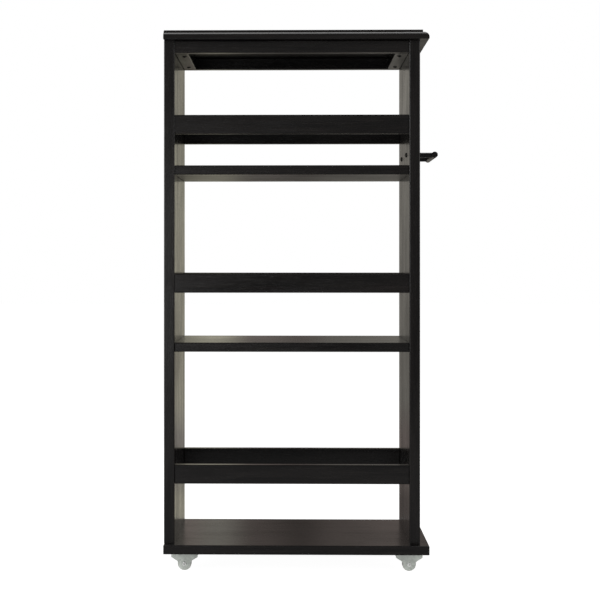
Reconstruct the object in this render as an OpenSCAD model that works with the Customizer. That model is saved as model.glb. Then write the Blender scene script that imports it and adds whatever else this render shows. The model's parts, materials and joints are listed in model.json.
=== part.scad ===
// Slim open rolling kitchen cart: two solid end panels, a moulded top board, a base board,
// two shelves, three pairs of guard rails, a pull bar on one end and four fixed casters.
// Frame: +Z up, +X towards the end with the pull bar, -Y towards the long side whose
// boards overhang. The origin is on the floor, under the middle of the overall box.

/* [Overall] */
// Height from the floor to the top surface
overall_h = 914; // [860:1:960]
// Length over the two end panels
case_l = 431; // [360:1:560]
// Depth of the end panels
case_d = 231; // [200:1:300]
// Overhang of the top and base boards at the pull end and at the front
overhang = 14.5; // [11:0.5:20]

/* [Boards] */
// Thickness of the end panels
panel_t = 18; // [16:0.5:22]
// Thickness of the base, the shelves, the rails and the aprons
board_t = 15.6; // [15:0.1:18]
// Thickness of the top board
top_t = 16.5; // [16:0.5:20]
// Radius of the sanded edges
arris_r = 1.6; // [1:0.1:2.5]
// Radius of the arrises at the boards' cut ends
end_r = 1; // [0.5:0.1:1.5]
// Radius of the arrises at the end panels' seated ends
seat_r = 0.4; // [0.3:0.1:1]
// Height of the square step on the moulded edge of the top
step_h = 3.8; // [2:0.1:4]
// Distance of that step from the outermost edge
step_in = 10; // [10:0.5:12]
// Radius of the rounded nose under the step
nose_r = 10; // [6:0.5:10]
// Radius under the nose
nose_under_r = 1; // [0.5:0.5:1.5]

/* [Shelves and rails] */
// Height of the lower shelf's upper face
lower_shelf_z = 388.5; // [340:0.5:420]
// Height of the upper shelf's upper face
upper_shelf_z = 687.5; // [620:0.5:700]
// Height of each guard rail
rail_h = 32; // [30:0.5:45]
// Height of the lower rails' underside
lower_rail_z = 150.5; // [110:0.5:200]
// Height of the middle rails' underside
middle_rail_z = 472.5; // [450:0.5:520]
// Height of the upper rails' underside
upper_rail_z = 740.5; // [720:0.5:760]
// Setback of the rails and aprons from the edge of the end panels
rail_inset = 2; // [1:0.5:5]
// Setback of the shelves from the edge of the end panels
shelf_inset = 3; // [1:0.5:6]
// Height of the aprons and of the cleats beside them
apron_h = 20.5; // [18:0.5:40]
// Width of the cleats
cleat_w = 22; // [18:1:30]

/* [Pull bar] */
// Diameter of the bar
bar_dia = 10.5; // [8:0.5:14]
// Length of the bar
bar_l = 130; // [115:1:180]
// Distance from the end panel to the middle of the bar
bar_reach = 29.75; // [24:0.25:45]
// Height of the bar above the floor
bar_z = 708.5; // [600:0.5:800]
// Spacing of the two posts
post_pitch = 102; // [80:1:104]
// Diameter of each post
post_dia = 8.5; // [7:0.5:10]

/* [Casters] */
// Height from the floor to the underside of the base
caster_h = 34.5; // [30:0.1:45]
// Diameter of the wheels
wheel_dia = 23; // [20:0.5:25]
// Width of the wheels
wheel_w = 14; // [10:0.5:16]
// Length of a bracket
bracket_l = 45; // [43:1:60]
// Distance from the base's left end to the middle of the left casters
caster_in_left = 33; // [30:0.5:60]
// Distance from the base's right end to the middle of the right casters
caster_in_right = 31; // [30:0.5:60]
// Distance from the front and the back edge of the base to the middle of a caster
caster_in_y = 45; // [40:1:60]

/* [Hidden] */

$fn = 64;
fine_fn = 96;          // large or close-fitting round shapes
gap = 0.1;             // clearance all round a plain fastener
over = 1;              // how far a cut runs past a face

espresso = "#241f1f";
zinc = "#9fa59f";
nylon = "#b9bab2";
black_metal = "#17171a";
steel = "#8b8c8e";
beech = "#c8a878";

// Places along X, Y and Z
box_l = case_l + bar_reach + bar_dia / 2;
box_d = case_d + overhang;
x_left = -box_l / 2;
x_right = x_left + case_l;
x_in_left = x_left + panel_t;
x_in_right = x_right - panel_t;
inner_l = case_l - 2 * panel_t;
y_back = box_d / 2;
y_front = y_back - case_d;
y_edge = y_front - overhang;
y_mid = (y_front + y_back) / 2;
board_l = case_l + overhang;
base_z = caster_h + board_t;
top_z = overall_h - top_t;
panel_h = top_z - base_z;
apron_z = top_z - apron_h;
cleat_y0 = y_front + rail_inset + board_t;
cleat_l = case_d - 2 * (rail_inset + board_t);
rail_zs = [lower_rail_z, middle_rail_z, upper_rail_z];
shelf_zs = [lower_shelf_z, upper_shelf_z];
rail_ys = [y_front + rail_inset, y_back - rail_inset - board_t];

// Assembly screws, driven through the end panels and the base, with flush cover caps
screw_dia = 5;
screw_l = 50;
screw_head_dia = 9.8;
screw_head_h = 3.2;
cap_t = 1.4;
cap_dia = 10;
screw_set = cap_t + 0.2;                 // depth of the head below the face
shelf_screw_in = 45;                     // from the front and back of the panels
rail_screw_up = 21;                      // above the underside of a rail
dowel_up = 9;
shelf_screw_ys = [y_front + shelf_screw_in, y_back - shelf_screw_in];
rail_screw_ys = [for (y = rail_ys) y + board_t / 2];
shelf_points = [for (y = shelf_screw_ys, z = shelf_zs) [y, z - board_t / 2]];
rail_points = [for (y = rail_screw_ys, z = rail_zs) [y, z + rail_screw_up]];
apron_points = [for (y = rail_screw_ys) [y, apron_z + apron_h / 2]];
panel_points = concat(shelf_points, rail_points, apron_points);
dowel_points = [for (y = rail_screw_ys, z = rail_zs) [y, z + dowel_up]];
base_screw_half = 30;                    // half the spacing of a pair of base screws
base_screw_ys = [y_mid - base_screw_half, y_mid + base_screw_half];
panel_mid_xs = [x_left + panel_t / 2, x_right - panel_t / 2];

// Dowels
dowel_dia = 6;
dowel_l = 30;
dowel_in_panel = 12;
base_dowel_dia = 8;
base_dowel_in = 10;                      // depth in the base
base_dowel_half = 80;
base_dowel_ys = [y_mid - base_dowel_half, y_mid + base_dowel_half];

// Small pan-head wood screws under the top and the base
small_dia = 3.5;
small_head_dia = 7;
small_head_h = 2.2;
cleat_top_screw_l = 32;
cleat_side_screw_l = 30;
cleat_side_sink = small_head_h;          // these heads are let into the cleat, flush
cleat_top_half = 69;
cleat_side_half = 35;
cleat_top_ins = [2.5, 0];                // front and back screws, inwards from mid-width
cleat_side_ys = [y_mid - cleat_side_half, y_mid + cleat_side_half];
cleat_mid_z = apron_z + apron_h / 2;
cleat_top_points = [
    for (i = [0, 1], side = [-1, 1]) [
        (x_in_left + x_in_right) / 2 + side * (inner_l / 2 - cleat_w / 2 - cleat_top_ins[i]),
        y_mid + (2 * i - 1) * cleat_top_half
    ]
];

// Pull bar
bar_x = x_right + bar_reach;
post_ys = [y_mid - post_pitch / 2, y_mid + post_pitch / 2];
post_bore_l = 14;
spigot_dia = 5;
spigot_l = 3;
pull_screw_dia = 4;
pull_head_dia = 8;
pull_head_h = 2.6;
bar_end_r = 1;
fit = 0.02;                              // clearance of the turned parts

// Casters
wheel_r = wheel_dia / 2;
steel_t = 1.5;
cheek_gap = 0.7;                         // between a wheel and each cheek
bracket_in = wheel_w + 2 * cheek_gap;
bracket_w = bracket_in + 2 * steel_t;
lobe_r = wheel_r - 1;
skirt_z = 22.5;                          // underside of the full-length part of a cheek
waist_x = 12.5;
waist_z = 17;
boss_dia = 17;
boss_t = 0.6;
axle_dia = 4;
axle_gap = 0.1;
rivet_dia = 7;
rivet_h = 1.3;
caster_screw_x = 16;
caster_screw_l = 12;
tread_r = 2;
hub_dia = 9;
web_sink = 1.6;
rim_t = 3.2;
caster_x_left = x_left + caster_in_left;
caster_x_right = x_left + board_l - caster_in_right;
caster_y_front = y_edge + caster_in_y;
caster_y_back = y_back - caster_in_y;

// A rectangle with round corners, its lower left corner at the origin
module soft_rect(w, h, r) {
    translate([r, 0])
        square([w - 2 * r, h]);
    translate([0, r])
        square([w, h - 2 * r]);
    for (x = [r, w - r], y = [r, h - r])
        translate([x, y])
            circle(r);
}

// A board l by d by t; its edges along X, Y and Z are rounded by rx, ry and rz
module board(l, d, t, rx, ry, rz) {
    intersection() {
        rotate([90, 0, 90])
            linear_extrude(l)
                soft_rect(d, t, rx);
        translate([0, d, 0])
            rotate([90, 0, 0])
                linear_extrude(d)
                    soft_rect(l, t, ry);
        linear_extrude(t)
            soft_rect(l, d, rz);
    }
}

// A board whose cut ends face along X
module long_board(l, d, t) {
    board(l, d, t, arris_r, end_r, end_r);
}

// Section of the top: a moulded edge at the left, a plain one at the right
module moulded_section(w) {
    nose_z = top_t - step_h - nose_r;
    translate([step_in, 0])
        square([w - step_in - arris_r, top_t]);
    translate([nose_r, 0])
        square([w - nose_r - arris_r, top_t - step_h]);
    translate([nose_under_r, 0])
        square([w - nose_under_r - arris_r, nose_z]);
    translate([0, nose_under_r])
        square([w, nose_z - nose_under_r]);
    translate([w / 2, arris_r])
        square([w / 2, top_t - 2 * arris_r]);
    translate([nose_under_r, nose_under_r])
        circle(nose_under_r);
    for (z = [arris_r, top_t - arris_r])
        translate([w - arris_r, z])
            circle(arris_r);
    intersection() {
        translate([nose_r, nose_z])
            circle(nose_r, $fn = fine_fn);
        translate([0, nose_z])
            square([nose_r, nose_r]);
    }
}

// A plain screw along +Z with its head below the origin, or the hole for it
module screw(dia, l, head_dia, head_h, c = 0) {
    translate([0, 0, -head_h - c])
        cylinder(d = head_dia + 2 * c, h = head_h + c);
    cylinder(d = dia + 2 * c, h = l + c);
}

// An assembly screw along +Z; its head's flat end is at the origin
module assembly_screw(c = 0) {
    translate([0, 0, screw_head_h])
        screw(screw_dia, screw_l - screw_head_h, screw_head_dia, screw_head_h, c);
}

// Places its child on every screw point of the left or right panel's outer face
module on_left(points) {
    for (p = points)
        translate([x_left, p[0], p[1]])
            rotate([0, 90, 0])
                children();
}

module on_right(points) {
    for (p = points)
        translate([x_right, p[0], p[1]])
            rotate([0, -90, 0])
                children();
}

module on_both(points) {
    on_left(points)
        children();
    on_right(points)
        children();
}

// Hole in an end panel for a screw and its cap
module screw_hole() {
    translate([0, 0, -over])
        cylinder(d = cap_dia + 2 * gap, h = screw_set + screw_head_h + over);
    cylinder(d = screw_dia + 2 * gap, h = screw_set + screw_l + gap);
}

module dowel_hole() {
    translate([0, 0, panel_t - dowel_in_panel - gap])
        cylinder(d = dowel_dia + 2 * gap, h = dowel_l + 2 * gap);
}

module base_screw_holes() {
    for (x = panel_mid_xs, y = base_screw_ys)
        translate([x, y, caster_h])
            screw_hole();
}

module base_dowel_set(c = 0) {
    for (x = panel_mid_xs, y = base_dowel_ys)
        translate([x, y, base_z - base_dowel_in - c])
            cylinder(d = base_dowel_dia + 2 * c, h = dowel_l + 2 * c);
}

module cleat_top_screw_set(c = 0) {
    for (p = cleat_top_points)
        translate([p[0], p[1], apron_z])
            screw(small_dia, cleat_top_screw_l, small_head_dia, small_head_h, c);
}

module cleat_side_screw_set(c = 0) {
    for (y = cleat_side_ys) {
        translate([x_in_left + cleat_w - cleat_side_sink, y, cleat_mid_z])
            rotate([0, -90, 0])
                screw(small_dia, cleat_side_screw_l, small_head_dia, small_head_h, c);
        translate([x_in_right - cleat_w + cleat_side_sink, y, cleat_mid_z])
            rotate([0, 90, 0])
                screw(small_dia, cleat_side_screw_l, small_head_dia, small_head_h, c);
    }
}

module pull_screw_set(c = 0) {
    for (y = post_ys)
        translate([x_in_right, y, bar_z])
            rotate([0, 90, 0])
                screw(pull_screw_dia, panel_t + post_bore_l - over, pull_head_dia, pull_head_h, c);
}

module top_board() {
    color(espresso)
        difference() {
            intersection() {
                translate([x_left, y_edge, top_z])
                    rotate([90, 0, 90])
                        linear_extrude(board_l)
                            moulded_section(box_d);
                translate([x_left + board_l, y_back, top_z])
                    mirror([1, 0, 0])
                        rotate([90, 0, 0])
                            linear_extrude(box_d)
                                moulded_section(board_l);
            }
            cleat_top_screw_set(gap);
        }
}

module base_board() {
    color(espresso)
        difference() {
            translate([x_left, y_edge, caster_h])
                board(board_l, box_d, board_t, arris_r, arris_r, arris_r);
            base_screw_holes();
            base_dowel_set(gap);
            for (x = [caster_x_left, caster_x_right], y = [caster_y_front, caster_y_back])
                caster_screw_pair(x, y, gap);
        }
}

module panel_blank(x) {
    translate([x, y_front, base_z])
        board(panel_t, case_d, panel_h, seat_r, seat_r, arris_r);
}

module left_end_panel() {
    color(espresso)
        difference() {
            panel_blank(x_left);
            on_left(panel_points)
                screw_hole();
            on_left(dowel_points)
                dowel_hole();
            base_screw_holes();
            base_dowel_set(gap);
            cleat_side_screw_set(gap);
        }
}

module right_end_panel() {
    color(espresso)
        difference() {
            panel_blank(x_in_right);
            on_right(panel_points)
                screw_hole();
            on_right(dowel_points)
                dowel_hole();
            base_screw_holes();
            base_dowel_set(gap);
            cleat_side_screw_set(gap);
            pull_screw_set(gap);
        }
}

module shelf(z) {
    color(espresso)
        difference() {
            translate([x_in_left, y_front + shelf_inset, z - board_t])
                long_board(inner_l, case_d - 2 * shelf_inset, board_t);
            on_both(shelf_points)
                screw_hole();
        }
}

module rail(y, z) {
    color(espresso)
        difference() {
            translate([x_in_left, y, z])
                long_board(inner_l, board_t, rail_h);
            on_both(rail_points)
                screw_hole();
            on_both(dowel_points)
                dowel_hole();
        }
}

module apron(y) {
    color(espresso)
        difference() {
            translate([x_in_left, y, apron_z])
                long_board(inner_l, board_t, apron_h);
            on_both(apron_points)
                screw_hole();
        }
}

module cleat(x) {
    color(espresso)
        difference() {
            translate([x, cleat_y0, apron_z])
                board(cleat_w, cleat_l, apron_h, end_r, arris_r, end_r);
            cleat_top_screw_set(gap);
            cleat_side_screw_set(gap);
        }
}

module lower_shelf() { shelf(lower_shelf_z); }
module upper_shelf() { shelf(upper_shelf_z); }
module front_apron() { apron(rail_ys[0]); }
module back_apron() { apron(rail_ys[1]); }
module left_cleat() { cleat(x_in_left); }
module right_cleat() { cleat(x_in_right - cleat_w); }
module front_lower_rail() { rail(rail_ys[0], lower_rail_z); }
module back_lower_rail() { rail(rail_ys[1], lower_rail_z); }
module front_middle_rail() { rail(rail_ys[0], middle_rail_z); }
module back_middle_rail() { rail(rail_ys[1], middle_rail_z); }
module front_upper_rail() { rail(rail_ys[0], upper_rail_z); }
module back_upper_rail() { rail(rail_ys[1], upper_rail_z); }

// Outline of a caster cheek, the wheel's centre at the origin of X
module cheek_outline() {
    translate([-bracket_l / 2, skirt_z])
        square([bracket_l, caster_h - skirt_z]);
    polygon([
        [-bracket_l / 2, skirt_z], [-waist_x, waist_z], [-lobe_r, wheel_r],
        [lobe_r, wheel_r], [waist_x, waist_z], [bracket_l / 2, skirt_z]
    ]);
    translate([0, wheel_r])
        circle(lobe_r, $fn = fine_fn);
}

// A cheek of a caster; side is -1 for the front one and 1 for the back one
module cheek(side) {
    y_out = side * bracket_w / 2;
    translate([0, side > 0 ? y_out : y_out + steel_t, 0])
        rotate([90, 0, 0])
            linear_extrude(steel_t)
                cheek_outline();
    translate([0, side > 0 ? y_out + boss_t : y_out, wheel_r])
        rotate([90, 0, 0])
            cylinder(d = boss_dia, h = boss_t);
}

module caster_screw_pair(x, y, c = 0) {
    for (side = [-1, 1])
        translate([x + side * caster_screw_x, y, caster_h - steel_t])
            screw(small_dia, caster_screw_l + steel_t, small_head_dia, small_head_h, c);
}

module caster_bracket(x, y) {
    color(zinc)
        difference() {
            translate([x, y, 0]) {
                cheek(-1);
                cheek(1);
                translate([-bracket_l / 2, -bracket_w / 2, caster_h - steel_t])
                    cube([bracket_l, bracket_w, steel_t]);
            }
            translate([x, y + bracket_w, wheel_r])
                rotate([90, 0, 0])
                    cylinder(d = axle_dia + 2 * fit, h = 2 * bracket_w);
            caster_screw_pair(x, y, gap);
        }
}

// Half section of a wheel: tread, sunk web and hub
module wheel_section() {
    half = wheel_w / 2;
    bore_r = axle_dia / 2 + axle_gap;
    translate([wheel_r - rim_t, -half])
        square([rim_t - tread_r, wheel_w]);
    translate([wheel_r - rim_t, tread_r - half])
        square([rim_t, wheel_w - 2 * tread_r]);
    for (y = [tread_r - half, half - tread_r])
        translate([wheel_r - tread_r, y])
            circle(tread_r);
    translate([bore_r, web_sink - half])
        square([wheel_r - rim_t - bore_r, wheel_w - 2 * web_sink]);
    translate([bore_r, -half])
        square([hub_dia / 2 - bore_r, wheel_w]);
}

module caster_wheel(x, y) {
    color(nylon)
        translate([x, y, wheel_r])
            rotate([90, 0, 0])
                rotate_extrude($fn = fine_fn)
                    wheel_section();
}

// A riveted axle with a flat head outside each cheek
module caster_axle(x, y) {
    reach = bracket_w / 2 + boss_t;
    color(steel)
        translate([x, y, wheel_r])
            rotate([90, 0, 0])
                rotate_extrude() {
                    translate([0, -reach])
                        square([axle_dia / 2, 2 * reach]);
                    for (side = [-1, 1])
                        translate([0, side > 0 ? reach : -reach - rivet_h])
                            square([rivet_dia / 2, rivet_h]);
                }
}

module caster_bracket_front_left() { caster_bracket(caster_x_left, caster_y_front); }
module caster_bracket_front_right() { caster_bracket(caster_x_right, caster_y_front); }
module caster_bracket_back_left() { caster_bracket(caster_x_left, caster_y_back); }
module caster_bracket_back_right() { caster_bracket(caster_x_right, caster_y_back); }
module caster_wheel_front_left() { caster_wheel(caster_x_left, caster_y_front); }
module caster_wheel_front_right() { caster_wheel(caster_x_right, caster_y_front); }
module caster_wheel_back_left() { caster_wheel(caster_x_left, caster_y_back); }
module caster_wheel_back_right() { caster_wheel(caster_x_right, caster_y_back); }
module caster_axle_front_left() { caster_axle(caster_x_left, caster_y_front); }
module caster_axle_front_right() { caster_axle(caster_x_right, caster_y_front); }
module caster_axle_back_left() { caster_axle(caster_x_left, caster_y_back); }
module caster_axle_back_right() { caster_axle(caster_x_right, caster_y_back); }

module caster_screws() {
    color(steel)
        for (x = [caster_x_left, caster_x_right], y = [caster_y_front, caster_y_back])
            caster_screw_pair(x, y);
}

// The bar's solid shape, along Y, its ends eased
module bar_blank() {
    translate([bar_x, y_mid + bar_l / 2, bar_z])
        rotate([90, 0, 0])
            rotate_extrude($fn = fine_fn) {
                square([bar_dia / 2 - bar_end_r, bar_l]);
                translate([0, bar_end_r])
                    square([bar_dia / 2, bar_l - 2 * bar_end_r]);
                for (y = [bar_end_r, bar_l - bar_end_r])
                    translate([bar_dia / 2 - bar_end_r, y])
                        circle(bar_end_r);
            }
}

module pull_bar() {
    color(black_metal)
        difference() {
            bar_blank();
            for (y = post_ys)
                translate([bar_x - bar_dia / 2 - over, y, bar_z])
                    rotate([0, 90, 0])
                        cylinder(d = spigot_dia + 2 * fit, h = spigot_l + over + fit);
        }
}

module pull_post(y) {
    color(black_metal)
        difference() {
            union() {
                difference() {
                    translate([x_right, y, bar_z])
                        rotate([0, 90, 0])
                            cylinder(d = post_dia, h = bar_reach);
                    translate([bar_x, y + post_dia, bar_z])
                        rotate([90, 0, 0])
                            cylinder(d = bar_dia + 2 * fit, h = 2 * post_dia, $fn = fine_fn);
                }
                translate([x_right + post_dia, y, bar_z])
                    rotate([0, 90, 0])
                        cylinder(d = spigot_dia, h = bar_reach - bar_dia / 2 - post_dia + spigot_l);
            }
            pull_screw_set(gap);
        }
}

module pull_front_post() { pull_post(post_ys[0]); }
module pull_back_post() { pull_post(post_ys[1]); }

module pull_screws() {
    color(black_metal)
        pull_screw_set();
}

module shelf_screws() {
    color(steel)
        on_both(shelf_points)
            translate([0, 0, screw_set])
                assembly_screw();
}

module rail_screws() {
    color(steel)
        on_both(rail_points)
            translate([0, 0, screw_set])
                assembly_screw();
}

module apron_screws() {
    color(steel)
        on_both(apron_points)
            translate([0, 0, screw_set])
                assembly_screw();
}

module base_screws() {
    color(steel)
        for (x = panel_mid_xs, y = base_screw_ys)
            translate([x, y, caster_h + screw_set])
                assembly_screw();
}

module cleat_top_screws() {
    color(black_metal)
        cleat_top_screw_set();
}

module cleat_side_screws() {
    color(black_metal)
        cleat_side_screw_set();
}

module rail_dowels() {
    color(beech)
        on_both(dowel_points)
            translate([0, 0, panel_t - dowel_in_panel])
                cylinder(d = dowel_dia, h = dowel_l);
}

module base_dowels() {
    color(beech)
        base_dowel_set();
}

module left_screw_caps() {
    color(espresso)
        on_left(panel_points)
            cylinder(d = cap_dia, h = cap_t);
}

module right_screw_caps() {
    color(espresso)
        on_right(panel_points)
            cylinder(d = cap_dia, h = cap_t);
}

top_board();
left_end_panel();
right_end_panel();
base_board();
lower_shelf();
upper_shelf();
front_apron();
back_apron();
left_cleat();
right_cleat();
front_lower_rail();
back_lower_rail();
front_middle_rail();
back_middle_rail();
front_upper_rail();
back_upper_rail();
caster_bracket_front_left();
caster_bracket_front_right();
caster_bracket_back_left();
caster_bracket_back_right();
caster_wheel_front_left();
caster_wheel_front_right();
caster_wheel_back_left();
caster_wheel_back_right();
caster_axle_front_left();
caster_axle_front_right();
caster_axle_back_left();
caster_axle_back_right();
caster_screws();
pull_bar();
pull_front_post();
pull_back_post();
pull_screws();
shelf_screws();
rail_screws();
apron_screws();
base_screws();
cleat_top_screws();
cleat_side_screws();
rail_dowels();
base_dowels();
left_screw_caps();
right_screw_caps();
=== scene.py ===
"""Looks for the slim open rolling kitchen cart: camera, studio, materials and the small hardware.

Everything is in metres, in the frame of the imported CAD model: +Z up, +X towards the end with the
pull bar, -Y towards the front. The boards and the pull bar are the CAD model's own solids with
procedural finishes. The screws, caps and casters are finer meshes that stand for the CAD ones.
"""

import json
import math

import bmesh
import bpy
from mathutils import Matrix, Vector


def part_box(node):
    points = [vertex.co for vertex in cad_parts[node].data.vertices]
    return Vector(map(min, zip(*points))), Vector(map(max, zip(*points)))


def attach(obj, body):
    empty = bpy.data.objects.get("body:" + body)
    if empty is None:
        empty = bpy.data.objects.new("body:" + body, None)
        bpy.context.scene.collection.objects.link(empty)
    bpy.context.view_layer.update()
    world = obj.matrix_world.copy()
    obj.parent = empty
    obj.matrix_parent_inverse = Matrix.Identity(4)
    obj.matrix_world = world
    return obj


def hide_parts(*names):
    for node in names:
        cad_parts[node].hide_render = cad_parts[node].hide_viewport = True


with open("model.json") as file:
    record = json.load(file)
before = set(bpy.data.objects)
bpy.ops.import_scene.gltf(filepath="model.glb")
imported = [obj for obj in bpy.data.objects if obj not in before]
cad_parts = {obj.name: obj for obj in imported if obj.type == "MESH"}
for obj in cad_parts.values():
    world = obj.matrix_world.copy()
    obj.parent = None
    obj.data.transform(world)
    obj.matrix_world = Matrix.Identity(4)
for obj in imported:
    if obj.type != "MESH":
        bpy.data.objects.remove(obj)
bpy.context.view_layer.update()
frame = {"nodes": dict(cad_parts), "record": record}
MM = 0.001
NODES = frame["nodes"]
SLOT_OF = {part["node"]: part["material_slot"] for part in frame["record"]["subparts"]}


def span(node):
    """A CAD node's lowest corner, highest corner and middle."""
    low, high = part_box(node)
    return low, high, (low + high) / 2


CASE_LOW = span("left_end_panel")[0]
CASE_HIGH = span("right_end_panel")[1]
CASE_MID_X = (CASE_LOW.x + CASE_HIGH.x) / 2
FRONT_Y = CASE_LOW.y


# ---------------------------------------------------------------- camera

CAMERA_DISTANCE = 2.400          # in front of the end panels' front edges
CAMERA_HEIGHT = 0.529
CAMERA_YAW = math.radians(1.03)
CAMERA_LENS = 85.6               # millimetres, as is the sensor
CAMERA_SENSOR = 36.0
CAMERA_SHIFT = (0.0564, -0.0679)
CAMERA_CLIP = (0.05, 50.0)


def make_camera():
    """The photo's camera: level, square to the cart's front but for a small turn, and shifted."""
    data = bpy.data.cameras.new("camera")
    data.sensor_width = CAMERA_SENSOR
    data.lens = CAMERA_LENS
    data.shift_x, data.shift_y = CAMERA_SHIFT
    data.clip_start, data.clip_end = CAMERA_CLIP
    camera = bpy.data.objects.new("camera", data)
    camera.location = (CASE_MID_X, FRONT_Y - CAMERA_DISTANCE, CAMERA_HEIGHT)
    camera.rotation_euler = (math.pi / 2, 0.0, CAMERA_YAW)
    bpy.context.scene.collection.objects.link(camera)
    bpy.context.scene.camera = camera


# ---------------------------------------------------------------- node material helpers

EDGE_TURN = (0.02, 0.25)         # how far an edge's averaged normal turns, from none to full wear
DOWNWARD = (-0.6, -0.9)          # a normal's Z, from not facing down to facing down
WHOLE = (0.0, 1.0)


class Shader:
    """A node tree being built on a Principled BSDF, with short helpers."""

    def __init__(self, name):
        self.material = bpy.data.materials.new(name)
        self.material.use_nodes = True
        self.tree = self.material.node_tree
        self.bsdf = self.tree.nodes["Principled BSDF"]
        self.place = self.add("ShaderNodeTexCoord").outputs["Object"]

    def add(self, kind, **settings):
        node = self.tree.nodes.new(kind)
        for key, value in settings.items():
            setattr(node, key, value)
        return node

    def wire(self, source, target):
        self.tree.links.new(source, target)

    def fixed(self, **values):
        """Constant values on the BSDF's own sockets; an underscore stands for a space."""
        for key, value in values.items():
            self.bsdf.inputs[key.replace("_", " ")].default_value = value

    def noise(self, stretch, detail=3.0, roughness=0.55, offset=(0.0, 0.0, 0.0)):
        """Noise whose features are about 1 / stretch metres long on each axis."""
        mapping = self.add("ShaderNodeMapping")
        mapping.inputs["Scale"].default_value = stretch
        mapping.inputs["Location"].default_value = offset
        self.wire(self.place, mapping.inputs["Vector"])
        noise = self.add("ShaderNodeTexNoise")
        noise.inputs["Scale"].default_value = 1.0
        noise.inputs["Detail"].default_value = detail
        noise.inputs["Roughness"].default_value = roughness
        self.wire(mapping.outputs["Vector"], noise.inputs["Vector"])
        return noise.outputs["Fac"]

    def between(self, source, low, high, out_low=0.0, out_high=1.0):
        """Maps low..high to out_low..out_high, clamped."""
        node = self.add("ShaderNodeMapRange")
        node.inputs["From Min"].default_value = low
        node.inputs["From Max"].default_value = high
        node.inputs["To Min"].default_value = out_low
        node.inputs["To Max"].default_value = out_high
        self.wire(source, node.inputs["Value"])
        return node.outputs["Result"]

    def math(self, operation, a, b):
        node = self.add("ShaderNodeMath", operation=operation)
        for socket, value in zip(node.inputs, (a, b)):
            if isinstance(value, (int, float)):
                socket.default_value = value
            else:
                self.wire(value, socket)
        return node.outputs["Value"]

    def mix(self, factor, a, b):
        """A colour between a and b; each is a colour or a socket."""
        node = self.add("ShaderNodeMix", data_type="RGBA")
        self.wire(factor, node.inputs[0])
        for socket, value in zip((node.inputs[6], node.inputs[7]), (a, b)):
            if isinstance(value, tuple):
                socket.default_value = (*value, 1.0)
            else:
                self.wire(value, socket)
        return node.outputs[2]

    def bump(self, height, distance, strength=1.0, under=None):
        node = self.add("ShaderNodeBump")
        node.inputs["Strength"].default_value = strength
        node.inputs["Distance"].default_value = distance
        self.wire(height, node.inputs["Height"])
        if under is not None:
            self.wire(under, node.inputs["Normal"])
        return node.outputs["Normal"]

    def edges(self, radius):
        """1 on sharp or tightly rounded edges, 0 on flat faces."""
        bevel = self.add("ShaderNodeBevel", samples=4)
        bevel.inputs["Radius"].default_value = radius
        normal = self.add("ShaderNodeNewGeometry").outputs["Normal"]
        dot = self.add("ShaderNodeVectorMath", operation="DOT_PRODUCT")
        self.wire(bevel.outputs["Normal"], dot.inputs[0])
        self.wire(normal, dot.inputs[1])
        return self.between(self.math("SUBTRACT", 1.0, dot.outputs["Value"]), *EDGE_TURN)

    def facing_down(self):
        """1 on faces that look down, 0 on all others."""
        normal = self.add("ShaderNodeNewGeometry").outputs["Normal"]
        split = self.add("ShaderNodeSeparateXYZ")
        self.wire(normal, split.inputs["Vector"])
        return self.between(split.outputs["Z"], *DOWNWARD)

    def finish(self, colour, roughness, normal):
        self.wire(colour, self.bsdf.inputs["Base Color"])
        self.wire(roughness, self.bsdf.inputs["Roughness"])
        self.wire(normal, self.bsdf.inputs["Normal"])
        return self.material


def along(axis, length_scale, cross_scale):
    """A noise stretch whose grain runs along one axis."""
    stretch = [cross_scale] * 3
    stretch["XYZ".index(axis)] = length_scale
    return tuple(stretch)


def evenly(scale):
    """A noise stretch that is the same on all three axes."""
    return (scale, scale, scale)


# ---------------------------------------------------------------- materials

ESPRESSO_DARK = (0.0050, 0.0046, 0.0046)
ESPRESSO_LIGHT = (0.0098, 0.0086, 0.0083)
ESPRESSO_STREAK = (0.0165, 0.0134, 0.0122)
ESPRESSO_WORN = (0.0380, 0.0260, 0.0200)
NYLON_CLEAN = (0.42, 0.41, 0.385)
NYLON_SCUFFED = (0.27, 0.26, 0.24)
BLACK_DARK = (0.0030, 0.0030, 0.0033)
BLACK_LIGHT = (0.0062, 0.0058, 0.0058)
BLACK_RUBBED = (0.060, 0.058, 0.056)
BEECH_DARK = (0.52, 0.34, 0.19)
BEECH_LIGHT = (0.63, 0.45, 0.28)
BEECH_FLECK = (0.30, 0.16, 0.08)
CAP_DARK = (0.0080, 0.0068, 0.0064)
CAP_LIGHT = (0.0140, 0.0115, 0.0105)
ZINC_PLATE_TINT = (0.655, 0.695, 0.645)
ZINC_STEEL_TINT = (0.97, 0.98, 0.96)
ZINC_DULL = 0.72                 # how dark a dull spot is beside the tint, and how bright an edge is
ZINC_BRIGHT = 1.18


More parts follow.
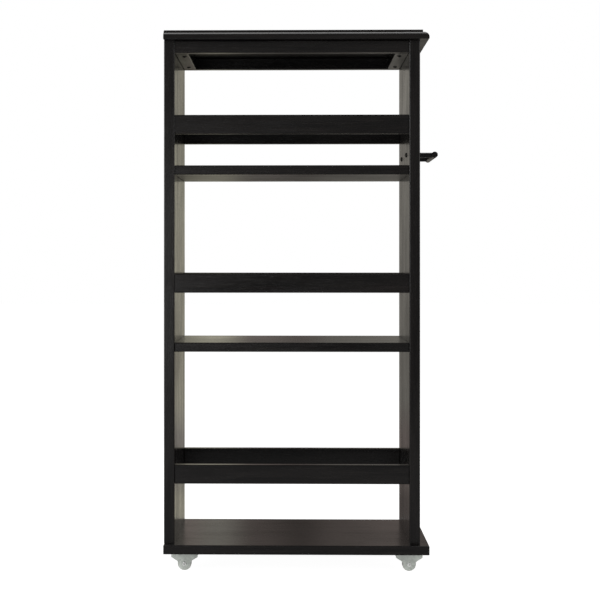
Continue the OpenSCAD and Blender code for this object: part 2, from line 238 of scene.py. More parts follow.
def espresso(axis):
    """Near-black satin lacquer over wood whose grain runs along the axis."""
    shader = Shader(f"espresso_lacquer_{axis}")
    figure = shader.noise(along(axis, 5.0, 70.0), detail=4.0)
    streaks = shader.noise(along(axis, 14.0, 800.0), detail=3.0, offset=(3.1, 1.7, 5.3))
    pores = shader.noise(along(axis, 55.0, 2600.0), detail=2.0, offset=(7.7, 2.9, 0.4))
    ripple = shader.noise(along(axis, 11.0, 190.0), detail=2.0, offset=(1.3, 4.4, 6.2))
    bands = shader.noise(along(axis, 3.0, 32.0), detail=2.0, offset=(2.9, 0.8, 7.4))
    peel = shader.noise(evenly(260.0), detail=1.0)
    smudges = shader.noise(evenly(9.0), detail=3.0, offset=(0.6, 8.2, 4.1))
    edge = shader.edges(1.4 * MM)
    worn = shader.math("MULTIPLY", edge, shader.between(smudges, 0.42, 0.66))

    wood = shader.mix(shader.between(figure, 0.35, 0.7), ESPRESSO_DARK, ESPRESSO_LIGHT)
    wood = shader.mix(shader.between(streaks, 0.48, 0.74, 0.0, 0.6), wood, ESPRESSO_STREAK)
    wood = shader.mix(shader.between(worn, *WHOLE, 0.0, 0.55), wood, ESPRESSO_WORN)

    gloss = shader.between(smudges, 0.3, 0.7, 0.13, 0.20)
    # What roughens the lacquer further: its source, the source's range, and the most that it adds
    for source, low, high, most in (
        (ripple, 0.42, 0.66, 0.05),
        (bands, 0.42, 0.62, 0.05),
        (worn, *WHOLE, 0.14),
        (pores, 0.60, 0.72, 0.10),
        (shader.facing_down(), *WHOLE, 0.13),
    ):
        gloss = shader.math("ADD", gloss, shader.between(source, low, high, 0.0, most))

    normal = shader.bump(peel, 0.02 * MM, 0.35)
    normal = shader.bump(streaks, 0.03 * MM, 0.5, normal)
    normal = shader.bump(shader.between(pores, 0.58, 0.70, 1.0, 0.0), 0.04 * MM, 0.6, normal)
    shader.fixed(IOR=1.45)
    return shader.finish(wood, gloss, normal)


def zinc(name, tint, roughness, metallic):
    """Dull zinc plating with a faint spangle and handling marks."""
    shader = Shader(name)
    spangle = shader.noise(evenly(900.0), detail=2.0)
    cloud = shader.noise(evenly(130.0), detail=3.0, offset=(1.2, 3.4, 5.6))
    edge = shader.edges(0.4 * MM)
    dull = tuple(ZINC_DULL * c for c in tint)
    bright = tuple(min(1.0, ZINC_BRIGHT * c) for c in tint)
    colour = shader.mix(shader.between(cloud, 0.3, 0.7), dull, tint)
    colour = shader.mix(shader.between(edge, *WHOLE, 0.0, 0.6), colour, bright)
    gloss = shader.between(cloud, 0.3, 0.7, roughness + 0.08, roughness - 0.06)
    shader.fixed(Metallic=metallic)
    return shader.finish(colour, gloss, shader.bump(spangle, 0.02 * MM, 0.5))


def nylon():
    """Pale grey moulded nylon, scuffed where it rolls."""
    shader = Shader("nylon_tread")
    scuff = shader.noise(along("Y", 60.0, 420.0), detail=4.0, offset=(2.2, 0.3, 6.1))
    grain = shader.noise(evenly(1500.0), detail=1.0)
    colour = shader.mix(shader.between(scuff, 0.45, 0.72, 0.0, 0.7), NYLON_CLEAN, NYLON_SCUFFED)
    gloss = shader.between(scuff, 0.4, 0.7, 0.38, 0.60)
    shader.fixed(IOR=1.5)
    return shader.finish(colour, gloss, shader.bump(grain, 0.02 * MM, 0.4))


def black_metal():
    """Satin black coated steel."""
    shader = Shader("black_metal")
    coat = shader.noise(evenly(1800.0), detail=2.0)
    cloud = shader.noise(evenly(60.0), detail=3.0, offset=(4.2, 1.1, 0.7))
    edge = shader.edges(0.5 * MM)
    colour = shader.mix(shader.between(cloud, 0.3, 0.7), BLACK_DARK, BLACK_LIGHT)
    colour = shader.mix(shader.between(edge, *WHOLE, 0.0, 0.4), colour, BLACK_RUBBED)
    gloss = shader.between(cloud, 0.3, 0.7, 0.26, 0.34)
    shader.fixed(IOR=1.5)
    return shader.finish(colour, gloss, shader.bump(coat, 0.02 * MM, 0.4))


def beech():
    """Plain beech dowel with short dark flecks."""
    shader = Shader("beech")
    grain = shader.noise(along("X", 40.0, 900.0), detail=3.0)
    flecks = shader.noise(along("X", 260.0, 2200.0), detail=1.0, offset=(5.0, 1.0, 2.0))
    colour = shader.mix(shader.between(grain, 0.35, 0.7), BEECH_DARK, BEECH_LIGHT)
    colour = shader.mix(shader.between(flecks, 0.62, 0.74, 0.0, 0.6), colour, BEECH_FLECK)
    gloss = shader.between(grain, 0.3, 0.7, 0.55, 0.7)
    return shader.finish(colour, gloss, shader.bump(grain, 0.05 * MM, 0.5))


def cap_plastic():
    """Matte near-black moulded caps."""
    shader = Shader("cap_plastic")
    spark = shader.noise(evenly(2400.0), detail=1.0)
    cloud = shader.noise(evenly(90.0), detail=2.0, offset=(1.0, 6.0, 2.0))
    colour = shader.mix(shader.between(cloud, 0.3, 0.7), CAP_DARK, CAP_LIGHT)
    gloss = shader.between(cloud, 0.3, 0.7, 0.36, 0.46)
    shader.fixed(IOR=1.48)
    return shader.finish(colour, gloss, shader.bump(spark, 0.03 * MM, 0.5))


MATERIALS = {
    "X": espresso("X"),
    "Y": espresso("Y"),
    "Z": espresso("Z"),
    "zinc_plate": zinc("zinc_plate", ZINC_PLATE_TINT, roughness=0.45, metallic=0.30),
    "zinc_steel": zinc("zinc_steel", ZINC_STEEL_TINT, roughness=0.20, metallic=0.30),
    "nylon_tread": nylon(),
    "black_metal": black_metal(),
    "beech": beech(),
    "cap_plastic": cap_plastic(),
}
GRAIN_AXIS = {"left_end_panel": "Z", "right_end_panel": "Z", "left_cleat": "Y", "right_cleat": "Y"}


def finish_for(node):
    """The material that a CAD node or the piece in its place takes."""
    slot = SLOT_OF[node]
    if slot == "espresso_lacquer":
        return MATERIALS[GRAIN_AXIS.get(node, "X")]
    return MATERIALS[slot]


def dress_frame():
    for name, obj in NODES.items():
        obj.data.materials.clear()
        obj.data.materials.append(finish_for(name))


# ---------------------------------------------------------------- mesh helpers

SMOOTH_ANGLE = 35.0
ON_AXIS = 1e-7                   # a radius this small is a single point on the axis
SAME_POINT = 1e-6


def new_piece(name, mesh, node, body, smooth_angle=SMOOTH_ANGLE):
    """Puts a finished mesh in the scene as the piece that stands for one CAD node."""
    mesh.normal_update()
    data = bpy.data.meshes.new(name)
    mesh.to_mesh(data)
    mesh.free()
    data.materials.append(finish_for(node))
    piece = bpy.data.objects.new(name, data)
    bpy.context.scene.collection.objects.link(piece)
    smooth_by_angle(data, math.radians(smooth_angle))
    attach(piece, body)
    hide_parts(node)
    return piece


def smooth_by_angle(data, angle):
    """Smooth faces, with sharp edges where two faces meet at more than the angle."""
    data.polygons.foreach_set("use_smooth", [True] * len(data.polygons))
    mesh = bmesh.new()
    mesh.from_mesh(data)
    for edge in mesh.edges:
        if len(edge.link_faces) == 2:
            edge.smooth = edge.calc_face_angle() < angle
    mesh.to_mesh(data)
    mesh.free()


def ring(mesh, radius, height, steps):
    """The points of one turn of a lathe, or the single point where it closes on the axis."""
    if radius < ON_AXIS:
        return [mesh.verts.new((0.0, 0.0, height))]
    angles = [2 * math.pi * i / steps for i in range(steps)]
    return [mesh.verts.new((radius * math.cos(a), radius * math.sin(a), height)) for a in angles]


def lathe(mesh, profile, steps):
    """Revolves a closed or axis-to-axis profile of (radius, height) about +Z."""
    rings = [ring(mesh, radius, height, steps) for radius, height in profile]
    for low, high in zip(rings, rings[1:]):
        for i in range(steps):
            j = (i + 1) % steps
            if len(low) == 1:
                mesh.faces.new((low[0], high[j], high[i]))
            elif len(high) == 1:
                mesh.faces.new((low[i], low[j], high[0]))
            else:
                mesh.faces.new((low[i], low[j], high[j], high[i]))


def mirrored(end):
    """A whole profile from one end's half of it, given from the axis outwards at the high end."""
    return [(radius, -height) for radius, height in end] + end[::-1]


def turned(name, node, profile, steps):
    """A piece of the frame that is revolved about its node's own axis, which runs along Y."""
    mesh = bmesh.new()
    lathe(mesh, profile, steps)
    bmesh.ops.recalc_face_normals(mesh, faces=mesh.faces)
    place = Matrix.Translation(span(node)[2]) @ facing((0, 1, 0))
    bmesh.ops.transform(mesh, matrix=place, verts=mesh.verts)
    return new_piece(name, mesh, node, "frame")


def arc(centre, radius, start, end, steps):
    """Points of an arc in (radius, height), angles in degrees."""
    points = []
    for i in range(steps + 1):
        a = math.radians(start + (end - start) * i / steps)
        points.append((centre[0] + radius * math.cos(a), centre[1] + radius * math.sin(a)))
    return points


def facing(direction):
    """Rotation that turns +Z to the direction."""
    return Vector((0, 0, 1)).rotation_difference(Vector(direction)).to_matrix().to_4x4()


def stamp(target, source, matrices):
    """Adds a copy of the source mesh to the target for each matrix."""
    data = bpy.data.meshes.new("stamp")
    source.to_mesh(data)
    for matrix in matrices:
        before = len(target.verts)
        target.from_mesh(data)
        target.verts.ensure_lookup_table()
        for vert in target.verts[before:]:
            vert.co = matrix @ vert.co
    bpy.data.meshes.remove(data)


def joined_to(start, seen):
    """The places of all points that edges join to a first one, which are added to the seen ones."""
    places = []
    todo = [start]
    seen.add(start)
    while todo:
        vert = todo.pop()
        places.append(vert.co.copy())
        for edge in vert.link_edges:
            other = edge.other_vert(vert)
            if other not in seen:
                seen.add(other)
                todo.append(other)
    return places


def islands(node):
    """(lowest corner, highest corner) of each separate solid in a CAD node."""
    mesh = bmesh.new()
    mesh.from_mesh(NODES[node].data)
    bmesh.ops.remove_doubles(mesh, verts=mesh.verts, dist=SAME_POINT)
    seen = set()
    found = []
    for start in mesh.verts:
        if start in seen:
            continue
        places = joined_to(start, seen)
        low = Vector(tuple(min(co[k] for co in places) for k in range(3)))
        high = Vector(tuple(max(co[k] for co in places) for k in range(3)))
        found.append((low, high))
    mesh.free()
    return found


# ---------------------------------------------------------------- screws and caps

SCREW_STEPS = 40
SCREW_TWIST = 0.6                # radians from one screw's recess to the next one's
RECESS_TAPER = 0.45
WOOD_SCREW_HEAD_H = 2.2 * MM
PULL_SCREW_HEAD_H = 2.6 * MM
CAP_EASE = 0.25 * MM
CAP_GROOVE = 0.12 * MM


def cut(mesh, cutter):
    """The mesh with the cutter taken away from it."""
    objects = []
    for name, source in (("cut_body", mesh), ("cut_tool", cutter)):
        data = bpy.data.meshes.new(name)
        bmesh.ops.recalc_face_normals(source, faces=source.faces)
        source.to_mesh(data)
        source.free()
        obj = bpy.data.objects.new(name, data)
        bpy.context.scene.collection.objects.link(obj)
        objects.append(obj)
    body, tool = objects
    modifier = body.modifiers.new("cut", "BOOLEAN")
    modifier.operation = "DIFFERENCE"
    modifier.solver = "EXACT"
    modifier.object = tool
    result = bmesh.new()
    result.from_object(body, bpy.context.evaluated_depsgraph_get())
    for obj in objects:
        data = obj.data
        bpy.data.objects.remove(obj)
        bpy.data.meshes.remove(data)
    return result


def cross_cutter(width, reach, depth, top):
    """A tapered cross-shaped driver recess, its mouth at height top."""
    mesh = bmesh.new()
    half = width / 2
    arm = [(half, half), (reach, half), (reach, -half)]
    points = []
    for quarter in range(4):
        a = -quarter * math.pi / 2
        for x, y in arm:
            points.append((x * math.cos(a) - y * math.sin(a), x * math.sin(a) + y * math.cos(a)))
    above = [mesh.verts.new((x, y, top + depth)) for x, y in points]
    mouth = [mesh.verts.new((x, y, top)) for x, y in points]
    floor = [mesh.verts.new((x * RECESS_TAPER, y * RECESS_TAPER, top - depth)) for x, y in points]
    count = len(points)
    for low, high in ((above, mouth), (mouth, floor)):
        for i in range(count):
            j = (i + 1) % count
            mesh.faces.new((low[i], low[j], high[j], high[i]))
    mesh.faces.new(above[::-1])
    mesh.faces.new(floor)
    bmesh.ops.triangulate(mesh, faces=[f for f in mesh.faces if len(f.verts) > 4])
    return mesh


def pan_screw(head_r, head_h, shank_r, length):
    """A pan-head screw: head from z = 0 up to head_h, shank down to -length."""
    mesh = bmesh.new()
    ease = 0.12 * MM
    rise = head_h * 0.58
    wall = rise * 0.55
    round_r = rise * 0.45
    profile = [(0.0, -length), (shank_r * 0.35, -length + shank_r), (shank_r, -length + 3 * shank_r)]
    profile += [(shank_r, 0.0), (head_r - ease, 0.0), (head_r, ease), (head_r, wall)]
    profile += arc((head_r - round_r, wall), round_r, 0, 62, 5)[1:]
    x0, z0 = profile[-1]
    crown_steps = 6
    for i in range(1, crown_steps + 1):
        share = i / crown_steps
        profile.append((x0 * (1 - share), z0 + (head_h - z0) * math.sin(share * math.pi / 2)))
    lathe(mesh, profile, SCREW_STEPS)
    recess = cross_cutter(width=head_r * 0.24, reach=head_r * 0.62, depth=head_h * 0.55, top=head_h)
    return cut(mesh, recess)


def screw_group(name, node, outward, head_h):
    """Detailed screws in the place of a CAD node's plain ones.

    outward(low, high) gives the way that the head points on the screw between those corners.
    """
    target = bmesh.new()
    source = None
    matrices = []
    for number, (low, high) in enumerate(islands(node)):
        direction = Vector(outward(low, high))
        axis = max(range(3), key=lambda k: abs(direction[k]))
        others = [k for k in range(3) if k != axis]
        head_r = (high[others[0]] - low[others[0]]) / 2
        length = high[axis] - low[axis] - head_h
        if source is None:
            source = pan_screw(head_r, head_h, head_r * 0.5, length)
        seat = (low + high) / 2
        seat[axis] = high[axis] - head_h if direction[axis] > 0 else low[axis] + head_h
        turn = Matrix.Rotation(SCREW_TWIST * (number + 1), 4, "Z")
        matrices.append(Matrix.Translation(seat) @ facing(direction) @ turn)
    stamp(target, source, matrices)
    source.free()
    return new_piece(name, target, node, "frame")


def cap_group(name, node, side):
    """Flush cover caps: a disc with an eased rim and a shallow ring."""
    target = bmesh.new()
    source = bmesh.new()
    low, high = islands(node)[0]
    radius = (high.y - low.y) / 2
    thick = high.x - low.x
    rim = radius - CAP_EASE
    profile = [(0.0, 0.0), (rim, 0.0), (radius, CAP_EASE), (radius, thick - CAP_EASE)]
    profile += arc((rim, thick - CAP_EASE), CAP_EASE, 0, 90, 4)[1:]
    profile += [(radius * 0.78, thick), (radius * 0.75, thick - CAP_GROOVE)]
    profile += [(radius * 0.70, thick - CAP_GROOVE), (radius * 0.67, thick), (0.0, thick)]
    lathe(source, profile, SCREW_STEPS)
    matrices = []
    for low, high in islands(node):
        seat = (low + high) / 2
        seat.x = high.x if side < 0 else low.x
        matrices.append(Matrix.Translation(seat) @ facing((side, 0, 0)))
    stamp(target, source, matrices)
    source.free()
    return new_piece(name, target, node, "frame")


# ---------------------------------------------------------------- casters

WHEEL_STEPS = 96
STEEL = 1.5 * MM
BOSS_T = 0.6 * MM
FOLD_R = 2.4 * MM
FOLD_STEPS = 8
LIP_R = 1.0 * MM
CHEEK_TOP_STEPS = 24
SKIRT_RISE = 21.5 * MM           # from the bracket's foot to the underside of its full length
WAIST_X = 12.5 * MM              # where a cheek meets its round lobe, from the axle
WAIST_Z = 5.5 * MM
WAIST_EASE = 1.8 * MM
# A cheek's face about the axle as (reach in mm, share of the boss's height)
BOSS_RISE = ((2.1, 1.0), (6.4, 1.0), (7.1, 0.92), (7.8, 0.62), (8.5, 0.22), (9.2, 0.04), (9.8, 0.0))
# An axle's rolled end as (share of the head's radius, share of its height)
RIVET_END = (
    (0.0, -1.0), (0.24, -1.0), (0.31, -0.5), (0.35, 0.25), (0.42, 0.68), (0.52, 0.95), (0.62, 1.0),
    (0.74, 0.93), (0.86, 0.72), (0.95, 0.42), (1.0, 0.12), (1.0, 0.0),
)
RIVET_HEAD_H = 1.3 * MM
RIVET_SHANK_R = 2.0 * MM
BORE_R = 2.1 * MM
HUB_R = 4.5 * MM
HUB_DRAFT = 0.1 * MM
RIM_DEPTH = 3.2 * MM
WEB_SINK = 1.6 * MM
WHEEL_EASE = 0.3 * MM
TREAD_ROUND = 2.0 * MM
SEAM = 0.12 * MM                 # the mould line round the tread
RIBS = 6
RIB_T = 1.0 * MM
RIB_OVERLAP = 0.6 * MM
RIB_SETBACK = 0.25 * MM


def cheek_outline(half_l, top_z, skirt_z, lobe_r):
    """A cheek's outline about its axle, as (x, z): straight at the top, drawn in to a round lobe."""
    right = [(half_l, top_z), (half_l, skirt_z + LIP_R)]
    right += arc((half_l - LIP_R, skirt_z + LIP_R), LIP_R, 0, -62, 5)[1:]
    run = Vector((half_l - WAIST_X, skirt_z - WAIST_Z)).normalized() * WAIST_EASE
    right += [(WAIST_X + run.x, WAIST_Z + run.y), (WAIST_X + 0.3 * run.x, WAIST_Z + 0.1 * run.y)]
    right += [(WAIST_X - 0.45 * WAIST_EASE, WAIST_Z - 0.7 * WAIST_EASE)]
    right += arc((0.0, 0.0), lobe_r, 8, -90, 30)
    left = [(-x, z) for x, z in right[-2::-1]]
    top = [(-half_l + 2 * half_l * i / CHEEK_TOP_STEPS, top_z) for i in range(1, CHEEK_TOP_STEPS)]
    return right + left + top


def cheek(mesh, outline, side, half_w, axle_z):
    """One cheek, from its axle hole over the raised boss out to its outline, which is returned."""
    rays = [Vector(point).normalized() for point in outline]
    loops = []
    for reach, rise in BOSS_RISE:
        y = side * (half_w + rise * BOSS_T)
        places = [ray * reach * MM for ray in rays]
        loops.append([mesh.verts.new((place.x, y, axle_z + place.y)) for place in places])
    boss_r = BOSS_RISE[-1][0] * MM
    for share in (0.4, 1.0):
        places = [(ray * boss_r).lerp(Vector(point), share) for ray, point in zip(rays, outline)]
        loops.append([mesh.verts.new((place.x, side * half_w, axle_z + place.y)) for place in places])
    count = len(outline)
    for inner, outer in zip(loops, loops[1:]):
        for i in range(count):
            j = (i + 1) % count
            mesh.faces.new((inner[i], inner[j], outer[j], outer[i]))
    return loops[-1]


def folds(mesh, low_edge, high_edge, half_w, top_z):
    """The plate between the two cheeks' upper edges, with a rounded fold along each."""
    rows = [low_edge]
    for side, steps in ((-1, range(1, FOLD_STEPS + 1)), (1, range(FOLD_STEPS, 0, -1))):
        for step in steps:
            a = step / FOLD_STEPS * math.pi / 2
            y = side * (half_w - FOLD_R + FOLD_R * math.cos(a))
            z = top_z - FOLD_R + FOLD_R * math.sin(a)
            rows.append([mesh.verts.new((vert.co.x, y, z)) for vert in low_edge])
    rows.append(high_edge)
    for low_row, high_row in zip(rows, rows[1:]):
        for i in range(len(low_row) - 1):
            mesh.faces.new((low_row[i], low_row[i + 1], high_row[i + 1], high_row[i]))


def bracket_piece(name, node):
    """A stamped U-shaped caster bracket: rounded folds, drawn-in cheeks, raised bosses."""
    low, high, mid = span(node)
    axle_z = span(node.replace("bracket", "wheel"))[2].z
    half_l = (high.x - low.x) / 2
    half_w = (high.y - low.y) / 2 - BOSS_T
    top_z = high.z - FOLD_R - axle_z
    outline = cheek_outline(half_l, top_z, low.z + SKIRT_RISE - axle_z, axle_z - low.z)
    mesh = bmesh.new()
    edge_rows = []
    for side in (-1, 1):
        rim = cheek(mesh, outline, side, half_w, axle_z)
        at_top = [vert for vert in rim if abs(vert.co.z - axle_z - top_z) < SAME_POINT]
        edge_rows.append(sorted(at_top, key=lambda vert: vert.co.x))
    folds(mesh, *edge_rows, half_w, high.z)
    bmesh.ops.recalc_face_normals(mesh, faces=mesh.faces)
    bmesh.ops.translate(mesh, vec=(mid.x, mid.y, 0.0), verts=mesh.verts)
    piece = new_piece(name, mesh, node, "frame", smooth_angle=50.0)
    skin = piece.modifiers.new("sheet", "SOLIDIFY")
    skin.thickness = STEEL
    skin.offset = -1.0
    ease = piece.modifiers.new("ease", "BEVEL")
    ease.width = 0.25 * MM
    ease.segments = 2
    ease.limit_method = "ANGLE"
    ease.angle_limit = math.radians(50)
    return piece


def wheel_side(radius, rim, half):
    """One side of a wheel's section as (radius, height): bore, hub, sunk web, rim, rounded tread."""
    web = half - WEB_SINK
    face = half - WHEEL_EASE
    side = [(BORE_R, face), (BORE_R + WHEEL_EASE, half), (HUB_R - WHEEL_EASE, half), (HUB_R, face)]
    side += [(HUB_R + HUB_DRAFT, web), (rim - WHEEL_EASE, web), (rim, web + WHEEL_EASE), (rim, face)]
    side += [(rim + WHEEL_EASE, half)]
    return side + arc((radius - TREAD_ROUND, half - TREAD_ROUND), TREAD_ROUND, 90, 0, 8)


def add_ribs(mesh, inner, outer, half):
    """Radial ribs on both sides of the web, sunk a little way into the hub and the rim."""
    size = Matrix.Diagonal((outer - inner + RIB_OVERLAP, RIB_T, WEB_SINK, 1.0))
    for number in range(RIBS):
        turn = Matrix.Rotation(2 * math.pi * number / RIBS, 4, "Z")
        for end in (-1, 1):
            height = end * (half - WEB_SINK / 2 - RIB_SETBACK)
            place = Matrix.Translation(((outer + inner) / 2, 0.0, height))
            bmesh.ops.create_cube(mesh, size=1.0, matrix=turn @ place @ size)


def wheel_piece(name, node, body):
    """A moulded wheel: crowned tread, sunk web with ribs, raised hub."""
    low, high, mid = span(node)
    radius = (high.z - low.z) / 2
    half = (high.y - low.y) / 2
    rim = radius - RIM_DEPTH
    side = wheel_side(radius, rim, half)
    tread = [(radius, SEAM * 3), (radius - SEAM, SEAM), (radius - SEAM, -SEAM), (radius, -SEAM * 3)]
    profile = side + tread + [(r, -h) for r, h in reversed(side)]
    mesh = bmesh.new()
    lathe(mesh, profile + profile[:1], WHEEL_STEPS)
    bmesh.ops.remove_doubles(mesh, verts=mesh.verts, dist=SAME_POINT)
    add_ribs(mesh, HUB_R, rim, half)
    bmesh.ops.recalc_face_normals(mesh, faces=mesh.faces)
    bmesh.ops.transform(mesh, matrix=Matrix.Translation(mid) @ facing((0, 1, 0)), verts=mesh.verts)
    return new_piece(name, mesh, node, body)


def axle_piece(name, node):
    """A tubular rivet as an axle: a rolled rim round a small dimple at each end."""
    low, high = span(node)[:2]
    seat = (high.y - low.y) / 2 - RIVET_HEAD_H
    head_r = (high.z - low.z) / 2
    end = [(r * head_r, seat + h * RIVET_HEAD_H) for r, h in RIVET_END]
    return turned(name, node, mirrored(end + [(RIVET_SHANK_R, seat)]), SCREW_STEPS)


# ---------------------------------------------------------------- pull bar

BAR_STEPS = 64
BAR_EASE = 1.0 * MM
BAR_GROOVE = 0.35 * MM


def bar_piece(name, node):
    """The turned pull bar: eased ends, each with a shallow ring turned into its face."""
    low, high = span(node)[:2]
    half = (high.y - low.y) / 2
    radius = (high.z - low.z) / 2
    sunk = half - BAR_GROOVE
    end = [(0.0, half), (0.44 * radius, half), (0.50 * radius, sunk), (0.60 * radius, sunk)]
    end += [(0.66 * radius, half)] + arc((radius - BAR_EASE, half - BAR_EASE), BAR_EASE, 90, 0, 6)
    return turned(name, node, mirrored(end), BAR_STEPS)


# ---------------------------------------------------------------- studio

WHITE = (1.0, 1.0, 1.0)
FLOOR_HALF = 14.0
FLOOR_TONE = 0.34
FLOOR_ROUGHNESS = 0.9
FLOOR_SHEEN = 0.1
FLOOR_GLOW = 0.97                # what the floor gives off as the camera sees it
FLOOR_BOUNCE = 0.9               # and as light that it sends up into the cart
ROOM_TINT = (1.0, 0.99, 0.97)
ROOM_LIGHT = 0.15
LIGHT_AIM = (CASE_MID_X, 0.0, 0.45)
# Each softbox's name, place, aim, size and radiance
SOFTBOXES = (
    ("key", (-2.2, -1.7, 1.3), LIGHT_AIM, (1.2, 1.6), 6.0),
    ("fill", (2.3, -1.6, 1.2), LIGHT_AIM, (1.2, 1.6), 3.0),
    ("glow", (-1.15, -2.6, 0.45), LIGHT_AIM, (1.3, 0.8), 1.9),
    ("overhead", (0.0, 0.42, 2.6), (0.0, 0.42, 0.0), (2.8, 1.3), 2.3),
)
CARD_Y = 0.40
CARD_HALF = 0.9
CARD_TOP = 1.6
OLIVE = (1.0, 0.95, 0.75)
UMBER = (1.0, 0.84, 0.77)
GREIGE = (1.0, 0.945, 0.84)
# Tones across the card as (x, tone, tint), at its foot and in the rows above it
CARD_FOOT = (
    (-0.40, 0.40, OLIVE), (-0.18, 0.57, OLIVE), (-0.09, 0.17, UMBER), (0.00, 0.10, UMBER),
    (0.08, 0.15, UMBER), (0.15, 0.11, UMBER), (0.30, 0.12, UMBER),
)
CARD_BASE = (
    (-0.40, 0.30, UMBER), (-0.24, 0.33, UMBER), (-0.17, 0.35, GREIGE), (-0.09, 0.17, UMBER),
    (0.00, 0.10, UMBER), (0.08, 0.17, UMBER), (0.20, 0.25, UMBER), (0.30, 0.16, UMBER),
)
CARD_LOW = (
    (-0.40, 0.34, OLIVE), (-0.24, 0.42, OLIVE), (-0.18, 0.53, OLIVE), (-0.09, 0.20, UMBER),
    (0.00, 0.15, UMBER), (0.08, 0.20, GREIGE), (0.15, 0.24, GREIGE), (0.30, 0.17, GREIGE),
)
CARD_HIGH = (
    (-0.40, 0.26, OLIVE), (-0.24, 0.32, OLIVE), (-0.18, 0.54, OLIVE), (-0.09, 0.25, GREIGE),
    (0.00, 0.20, GREIGE), (0.09, 0.29, GREIGE), (0.15, 0.32, GREIGE), (0.21, 0.40, GREIGE),
    (0.30, 0.24, GREIGE),
)
CARD_TOP_ROW = (
    (-0.40, 0.15, UMBER), (-0.205, 0.20, UMBER), (-0.178, 0.53, OLIVE), (-0.09, 0.22, GREIGE),
    (0.00, 0.18, GREIGE), (0.09, 0.28, GREIGE), (0.15, 0.37, GREIGE), (0.22, 0.20, GREIGE),
    (0.30, 0.15, GREIGE),
)
CARD_SKY = ((-0.40, 0.62, GREIGE), (0.00, 0.62, GREIGE), (0.40, 0.62, GREIGE))
# Each row above the foot fades in between two heights, as (low, high, tones)
CARD_ROWS = (
    (0.04, 0.09, CARD_BASE),
    (0.17, 0.24, CARD_LOW),
    (0.30, 0.75, CARD_HIGH),
    (0.76, 0.83, CARD_TOP_ROW),
    (0.93, 1.00, CARD_SKY),
)


def stage_plane(name, corners):
    """A single flat face that belongs to the stage and not to the cart."""
    data = bpy.data.meshes.new(name)
    data.from_pydata(corners, [], [tuple(range(len(corners)))])
    plane = bpy.data.objects.new(name, data)
    bpy.context.scene.collection.objects.link(plane)
    return plane


def scaled(tree, source, low, high, top=1.0):
    """Maps low..high to 0..top."""
    node = tree.nodes.new("ShaderNodeMapRange")
    node.inputs["From Min"].default_value = low
    node.inputs["From Max"].default_value = high
    node.inputs["To Max"].default_value = top
    tree.links.new(source, node.inputs["Value"])
    return node.outputs["Result"]


def make_floor():
    """A pale floor that reads as white to the eye and still takes soft contact shadows."""
    half = FLOOR_HALF
    corners = [(-half, -half, 0), (half, -half, 0), (half, half, 0), (-half, half, 0)]
    floor = stage_plane("floor", corners)
    material = bpy.data.materials.new("pale_floor")
    material.use_nodes = True
    tree = material.node_tree
    bsdf = tree.nodes["Principled BSDF"]
    bsdf.inputs["Base Color"].default_value = (FLOOR_TONE, FLOOR_TONE, FLOOR_TONE, 1.0)
    bsdf.inputs["Roughness"].default_value = FLOOR_ROUGHNESS
    bsdf.inputs["Specular IOR Level"].default_value = FLOOR_SHEEN
    bsdf.inputs["Emission Color"].default_value = (*WHITE, 1.0)
    path = tree.nodes.new("ShaderNodeLightPath")
    seen = scaled(tree, path.outputs["Is Camera Ray"], *WHOLE, FLOOR_GLOW)
    bounced = scaled(tree, path.outputs["Is Diffuse Ray"], *WHOLE, FLOOR_BOUNCE)
    glow = tree.nodes.new("ShaderNodeMath")
    tree.links.new(seen, glow.inputs[0])
    tree.links.new(bounced, glow.inputs[1])
    tree.links.new(glow.outputs["Value"], bsdf.inputs["Emission Strength"])
    floor.data.materials.append(material)


def make_world():
    """White to the eye, a dim room to everything else."""
    world = bpy.data.worlds.new("studio")
    bpy.context.scene.world = world
    world.use_nodes = True
    tree = world.node_tree
    tree.nodes.clear()
    output = tree.nodes.new("ShaderNodeOutputWorld")
    room = tree.nodes.new("ShaderNodeBackground")
    room.inputs["Color"].default_value = (*ROOM_TINT, 1.0)
    room.inputs["Strength"].default_value = ROOM_LIGHT
    white = tree.nodes.new("ShaderNodeBackground")
    white.inputs["Color"].default_value = (*WHITE, 1.0)
    white.inputs["Strength"].default_value = 1.0
    seen = tree.nodes.new("ShaderNodeLightPath").outputs["Is Camera Ray"]
    mix = tree.nodes.new("ShaderNodeMixShader")
    tree.links.new(seen, mix.inputs["Fac"])
    tree.links.new(room.outputs["Background"], mix.inputs[1])
    tree.links.new(white.outputs["Background"], mix.inputs[2])
    tree.links.new(mix.outputs["Shader"], output.inputs["Surface"])


def softbox(name, place, aim, size, radiance):
    """A rectangular light of even radiance, aimed at a point."""
    data = bpy.data.lights.new(name, "AREA")
    data.shape = "RECTANGLE"
    data.size, data.size_y = size
    data.energy = radiance * math.pi * size[0] * size[1]
    data.color = WHITE
    light = bpy.data.objects.new(name, data)
    light.location = place
    light.rotation_euler = (Vector(aim) - Vector(place)).to_track_quat("-Z", "Y").to_euler()
    bpy.context.scene.collection.objects.link(light)


def tone_ramp(tree, place, tones):
    """A colour that runs through the (x, tone, tint) spots of one row of the card."""
    node = tree.nodes.new("ShaderNodeValToRGB")
    node.color_ramp.interpolation = "EASE"
    spots = node.color_ramp.elements
    spots.remove(spots[1])
    for number, (x, tone, tint) in enumerate(tones):
        at = (x + CARD_HALF) / (2 * CARD_HALF)
        spot = spots[0] if number == 0 else spots.new(at)
        spot.position = at
        spot.color = (*(tone * c for c in tint), 1.0)
    tree.links.new(place, node.inputs["Fac"])
    return node.outputs["Color"]


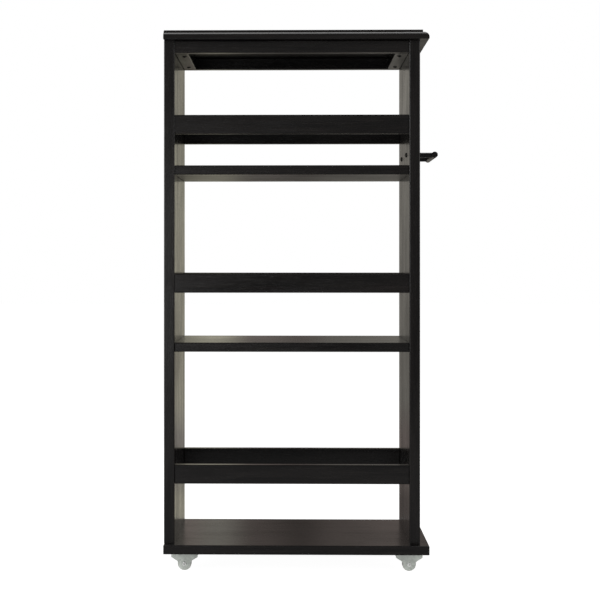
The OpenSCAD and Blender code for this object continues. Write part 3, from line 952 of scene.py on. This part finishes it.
def make_card():
    """A dim card close behind the cart, seen only in reflections, lighter at its two sides."""
    corners = [(-CARD_HALF, 0), (CARD_HALF, 0), (CARD_HALF, CARD_TOP), (-CARD_HALF, CARD_TOP)]
    card = stage_plane("card", [(x, CARD_Y, z) for x, z in corners])
    material = bpy.data.materials.new("card")
    material.use_nodes = True
    tree = material.node_tree
    tree.nodes.clear()
    place = tree.nodes.new("ShaderNodeNewGeometry").outputs["Position"]
    split = tree.nodes.new("ShaderNodeSeparateXYZ")
    tree.links.new(place, split.inputs["Vector"])
    across = scaled(tree, split.outputs["X"], -CARD_HALF, CARD_HALF)
    colour = tone_ramp(tree, across, CARD_FOOT)
    for low, high, tones in CARD_ROWS:
        mix = tree.nodes.new("ShaderNodeMix")
        mix.data_type = "RGBA"
        tree.links.new(scaled(tree, split.outputs["Z"], low, high), mix.inputs[0])
        tree.links.new(colour, mix.inputs[6])
        tree.links.new(tone_ramp(tree, across, tones), mix.inputs[7])
        colour = mix.outputs[2]
    glow = tree.nodes.new("ShaderNodeEmission")
    tree.links.new(colour, glow.inputs["Color"])
    output = tree.nodes.new("ShaderNodeOutputMaterial")
    tree.links.new(glow.outputs["Emission"], output.inputs["Surface"])
    card.data.materials.append(material)
    card.visible_camera = False
    card.visible_diffuse = False
    card.visible_shadow = False


# ---------------------------------------------------------------- build

def down(low, high):
    return (0, 0, -1)


def inward_from_right(low, high):
    return (-1, 0, 0)


def to_middle(low, high):
    """Along X towards the middle of the case, from either end panel."""
    return (1, 0, 0) if low.x + high.x < 2 * CASE_MID_X else (-1, 0, 0)


def make_hardware():
    screw_group("cleat_top_screws_detail", "cleat_top_screws", down, WOOD_SCREW_HEAD_H)
    screw_group("cleat_side_screws_detail", "cleat_side_screws", to_middle, WOOD_SCREW_HEAD_H)
    screw_group("pull_screws_detail", "pull_screws", inward_from_right, PULL_SCREW_HEAD_H)
    screw_group("caster_screws_detail", "caster_screws", down, WOOD_SCREW_HEAD_H)
    bar_piece("pull_bar_detail", "pull_bar")
    cap_group("left_screw_caps_detail", "left_screw_caps", -1)
    cap_group("right_screw_caps_detail", "right_screw_caps", 1)
    for end in ("front_left", "front_right", "back_left", "back_right"):
        bracket_piece(f"caster_bracket_{end}_detail", f"caster_bracket_{end}")
        wheel_piece(f"caster_wheel_{end}_detail", f"caster_wheel_{end}", f"{end}_wheel")
        axle_piece(f"caster_axle_{end}_detail", f"caster_axle_{end}")


make_camera()
make_floor()
make_world()
make_card()
for box in SOFTBOXES:
    softbox(*box)
dress_frame()
make_hardware()
bpy.context.scene.view_settings.view_transform = "Standard"
